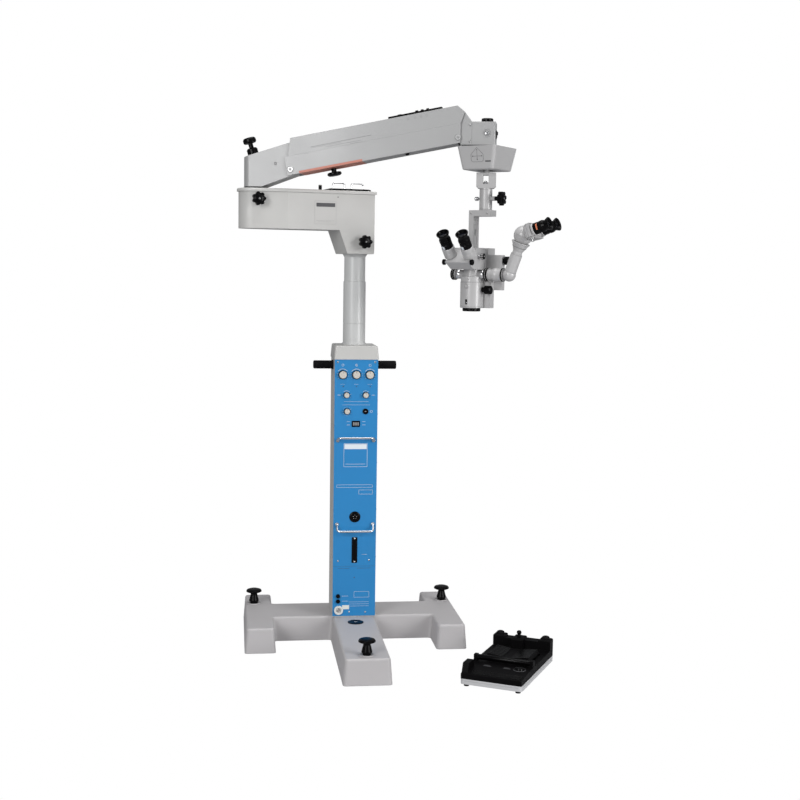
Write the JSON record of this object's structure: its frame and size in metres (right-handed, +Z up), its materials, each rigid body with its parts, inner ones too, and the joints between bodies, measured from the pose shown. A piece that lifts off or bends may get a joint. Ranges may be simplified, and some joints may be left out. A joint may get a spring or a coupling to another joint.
{
  "type": "surgical microscope",
  "caption": "Floor stand surgical microscope with a telescopic column, swing arm, level-keeping arm, cross-slide head, side observer tube and foot control.",
  "frame": {"origin": "on the floor, in the plane of the base casting's bottom face, on the axis of the telescopic column", "axes": "+Z up along the column, -Y toward the front panel and the front beam, +X to the right of someone facing the panel"},
  "size_m": [1.1411, 1.0518, 1.9943],
  "materials": {
    "cast_base": "light grey paint",
    "grey_paint": "light grey paint",
    "grey_sheet": "light grey paint",
    "blue_panel": "satin",
    "black_gloss": "gloss",
    "black_matte": "matt",
    "bright_steel": "bright",
    "satin_steel": "satin",
    "castor_rubber": "matt"
  },
  "bodies": {
    "stand": {"base_casting": "cast_base", "castors": "castor_rubber", "bubble_level": "black_gloss", "column_housing": "grey_sheet", "front_panel": "blue_panel", "column_cap": "grey_paint", "rack_handles": "bright_steel", "push_grips": "black_gloss", "outer_tube": "grey_sheet", "panel_sockets": "black_matte", "foot_control_base": "grey_paint", "foot_control_body": "black_matte"},
    "left_jack": {"jack_left": "black_gloss"},
    "right_jack": {"jack_right": "black_gloss"},
    "front_jack": {"jack_front": "black_gloss"},
    "left_lamp_knob": {"lamp_knob_left": "black_gloss"},
    "middle_lamp_knob": {"lamp_knob_middle": "black_gloss"},
    "right_lamp_knob": {"lamp_knob_right": "black_gloss"},
    "left_trim_knob": {"trim_knob_left": "black_gloss"},
    "right_trim_knob": {"trim_knob_right": "black_gloss"},
    "selector": {"selector_knob": "black_gloss"},
    "telescope": {"inner_tube": "satin_steel"},
    "lower_arm": {"lower_arm_housing": "grey_paint", "lower_arm_cover": "grey_paint"},
    "column_clamp": {"column_clamp_knob": "black_gloss"},
    "swing_clamp": {"swing_clamp_knob": "black_gloss"},
    "drawer": {"lamp_drawer": "black_matte"},
    "rear_block": {"arm_rear_block": "grey_paint"},
    "balance": {"balance_knob": "black_gloss"},
    "casing": {"arm_casing": "grey_paint", "arm_top_cover": "grey_paint", "control_strip": "black_gloss", "pivot_pins": "satin_steel", "balance_spring": "satin_steel"},
    "tilt_brake": {"tilt_brake_knob": "black_gloss"},
    "link": {"level_link": "satin_steel"},
    "front_body": {"front_housing": "grey_paint"},
    "head_clamp": {"head_clamp_knob": "black_gloss"},
    "button": {"front_button": "bright_steel"},
    "cross_head": {"cross_slide_housing": "grey_paint"},
    "cross_slide_x": {"x_slide": "satin_steel"},
    "cross_slide_y": {"suspension_fork": "grey_paint"},
    "suspension_clamp": {"suspension_star_knob": "black_gloss"},
    "bracket": {"suspension_bracket": "grey_paint"},
    "carrier": {"tilt_carrier": "grey_paint"},
    "focus_drive": {"focus_knob": "black_gloss"},
    "microscope": {"microscope_body": "grey_paint", "objective": "black_gloss", "beam_splitter": "grey_paint", "binocular_housing": "grey_paint", "observer_coupling": "grey_paint"},
    "magnification": {"magnification_knob": "black_gloss"},
    "left_eyepiece": {"eyepiece_left": "black_gloss"},
    "right_eyepiece": {"eyepiece_right": "black_gloss"},
    "pupil_drive": {"pupil_distance_knob": "black_gloss"},
    "observer_tube": {"observer_arm": "grey_paint"},
    "observer_binocular": {"observer_head": "grey_paint"},
    "rocker": {"rocker_pedal": "black_matte"},
    "stick": {"joystick": "black_matte"}
  },
  "joints": [
    {"name": "left_jack_screw", "type": "slide", "parent": "stand", "child": "left_jack", "axis": [0, 0, 1], "range_m": [-0.008, 0.02]},
    {"name": "right_jack_screw", "type": "slide", "parent": "stand", "child": "right_jack", "axis": [0, 0, 1], "range_m": [-0.008, 0.02]},
    {"name": "front_jack_screw", "type": "slide", "parent": "stand", "child": "front_jack", "axis": [0, 0, 1], "range_m": [-0.008, 0.02]},
    {"name": "left_lamp_knob_turn", "type": "hinge", "parent": "stand", "child": "left_lamp_knob", "pos_m": [-0.051, -0.116, 1.019], "axis": [0, -1, 0], "range_deg": [-135, 135]},
    {"name": "middle_lamp_knob_turn", "type": "hinge", "parent": "stand", "child": "middle_lamp_knob", "pos_m": [0, -0.116, 1.019], "axis": [0, -1, 0], "range_deg": [-135, 135]},
    {"name": "right_lamp_knob_turn", "type": "hinge", "parent": "stand", "child": "right_lamp_knob", "pos_m": [0.051, -0.116, 1.019], "axis": [0, -1, 0], "range_deg": [-135, 135]},
    {"name": "left_trim_knob_turn", "type": "hinge", "parent": "stand", "child": "left_trim_knob", "pos_m": [-0.036, -0.116, 0.9425], "axis": [0, -1, 0], "range_deg": [-135, 135]},
    {"name": "right_trim_knob_turn", "type": "hinge", "parent": "stand", "child": "right_trim_knob", "pos_m": [0.036, -0.116, 0.9425], "axis": [0, -1, 0], "range_deg": [-135, 135]},
    {"name": "selector_turn", "type": "hinge", "parent": "stand", "child": "selector", "pos_m": [-0.0338, -0.116, 0.881], "axis": [0, -1, 0], "range_deg": [-60, 60]},
    {"name": "column_lift", "type": "slide", "parent": "stand", "child": "telescope", "axis": [0, 0, 1], "range_m": [-0.085, 0.25]},
    {"name": "lower_arm_swing", "type": "hinge", "parent": "telescope", "child": "lower_arm", "pos_m": [0, 0, 1.5], "axis": [0, 0, 1], "range_deg": [-150, 150]},
    {"name": "column_clamp_turn", "type": "hinge", "parent": "lower_arm", "child": "column_clamp", "pos_m": [0.02415, -0.07659, 1.514], "axis": [0.2164, -0.9763, 0], "range_deg": [-180, 180]},
    {"name": "swing_clamp_turn", "type": "hinge", "parent": "lower_arm", "child": "swing_clamp", "pos_m": [-0.37167, -0.14386, 1.662], "axis": [0.2164, -0.9763, 0], "range_deg": [-180, 180]},
    {"name": "drawer_lift", "type": "slide", "parent": "lower_arm", "child": "drawer", "axis": [0, 0, 1], "range_m": [0, 0.06]},
    {"name": "upper_arm_swing", "type": "hinge", "parent": "lower_arm", "child": "rear_block", "pos_m": [-0.38466, -0.08528, 1.65], "axis": [0, 0, 1], "range_deg": [-150, 150]},
    {"name": "balance_turn", "type": "hinge", "parent": "rear_block", "child": "balance", "pos_m": [-0.37887, -0.08683, 1.80288], "axis": [-0.2795, 0.0749, 0.9572], "range_deg": [-180, 180]},
    {"name": "arm_tilt", "type": "hinge", "parent": "rear_block", "child": "casing", "pos_m": [-0.24112, -0.12374, 1.7684], "axis": [-0.2588, -0.9659, 0], "range_deg": [-4, 12]},
    {"name": "link_turn", "type": "hinge", "parent": "rear_block", "child": "link", "pos_m": [-0.24112, -0.12374, 1.8304], "axis": [-0.2588, -0.9659, 0], "range_deg": [-4, 12]},
    {"name": "front_level", "type": "hinge", "parent": "casing", "child": "front_body", "pos_m": [0.34477, -0.28073, 1.88301], "axis": [-0.2588, -0.9659, 0], "range_deg": [-12, 4]},
    {"name": "tilt_brake_turn", "type": "hinge", "parent": "casing", "child": "tilt_brake", "pos_m": [-0.09659, -0.16246, 1.77632], "axis": [0.1793, -0.0481, -0.9826], "range_deg": [-180, 180]},
    {"name": "head_clamp_turn", "type": "hinge", "parent": "front_body", "child": "head_clamp", "pos_m": [0.44121, -0.30657, 1.939], "axis": [0, 0, 1], "range_deg": [-180, 180]},
    {"name": "button_press", "type": "slide", "parent": "front_body", "child": "button", "axis": [0.2588, 0.9659, 0], "range_m": [0, 0.003], "stiffness_N_per_m": 400},
    {"name": "head_swing", "type": "hinge", "parent": "front_body", "child": "cross_head", "pos_m": [0.44121, -0.30657, 1.88], "axis": [0, 0, 1], "range_deg": [-120, 120]},
    {"name": "cross_x", "type": "slide", "parent": "cross_head", "child": "cross_slide_x", "axis": [0.7826, -0.6225, 0], "range_m": [-0.015, 0.015]},
    {"name": "cross_y", "type": "slide", "parent": "cross_slide_x", "child": "cross_slide_y", "axis": [0.6225, 0.7826, 0], "range_m": [-0.015, 0.015]},
    {"name": "suspension_clamp_turn", "type": "hinge", "parent": "cross_slide_y", "child": "suspension_clamp", "pos_m": [0.46468, -0.32524, 1.671], "axis": [0.7826, -0.6225, 0], "range_deg": [-180, 180]},
    {"name": "microscope_turn", "type": "hinge", "parent": "cross_slide_y", "child": "bracket", "pos_m": [0.44121, -0.30657, 1.64], "axis": [0, 0, 1], "range_deg": [-120, 120]},
    {"name": "microscope_tilt", "type": "hinge", "parent": "bracket", "child": "carrier", "pos_m": [0.44121, -0.30657, 1.465], "axis": [0.7826, -0.6225, 0], "range_deg": [-30, 30]},
    {"name": "focus_slide", "type": "slide", "parent": "carrier", "child": "microscope", "axis": [0, 0, 1], "range_m": [-0.015, 0.015]},
    {"name": "focus_turn", "type": "hinge", "parent": "carrier", "child": "focus_drive", "pos_m": [0.49668, -0.37497, 1.45], "axis": [0.7826, -0.6225, 0], "range_deg": [-180.5, 180.5]},
    {"name": "magnification_turn", "type": "hinge", "parent": "microscope", "child": "magnification", "pos_m": [0.41801, -0.39034, 1.346], "axis": [0.7826, -0.6225, 0], "range_deg": [-150, 150]},
    {"name": "pupil_left", "type": "slide", "parent": "microscope", "child": "left_eyepiece", "axis": [0.7826, -0.6225, 0], "range_m": [0, 0.01]},
    {"name": "pupil_right", "type": "slide", "parent": "microscope", "child": "right_eyepiece", "axis": [0.7826, -0.6225, 0], "range_m": [-0.01, 0]},
    {"name": "pupil_turn", "type": "hinge", "parent": "microscope", "child": "pupil_drive", "pos_m": [0.31932, -0.44856, 1.442], "axis": [0.7826, -0.6225, 0], "range_deg": [0, 120.5]},
    {"name": "observer_swing", "type": "hinge", "parent": "microscope", "child": "observer_tube", "pos_m": [0.48141, -0.44077, 1.4], "axis": [0.7826, -0.6225, 0], "range_deg": [-60, 60]},
    {"name": "observer_turn", "type": "hinge", "parent": "observer_tube", "child": "observer_binocular", "pos_m": [0.54126, -0.48838, 1.53769], "axis": [0.2741, -0.218, 0.9367], "range_deg": [-90, 90]},
    {"name": "rocker_tilt", "type": "hinge", "parent": "stand", "child": "rocker", "pos_m": [0.505, -0.57, 0.054], "axis": [0.4924, 0.8704, 0], "range_deg": [-5, 5], "stiffness_Nm_per_rad": 8},
    {"name": "stick_tilt", "type": "hinge", "parent": "stand", "child": "stick", "pos_m": [0.57679, -0.41874, 0.083], "axis": [0.8704, -0.4924, 0], "range_deg": [-8, 8], "stiffness_Nm_per_rad": 1}
  ],
  "couplings": [
    {"joint": "link_turn", "follows": "arm_tilt", "ratio": 1},
    {"joint": "front_level", "follows": "arm_tilt", "ratio": -1},
    {"joint": "focus_turn", "follows": "focus_slide", "rad_per_m": 209.44},
    {"joint": "pupil_right", "follows": "pupil_left", "ratio": -1},
    {"joint": "pupil_turn", "follows": "pupil_left", "rad_per_m": 209.44}
  ]
}
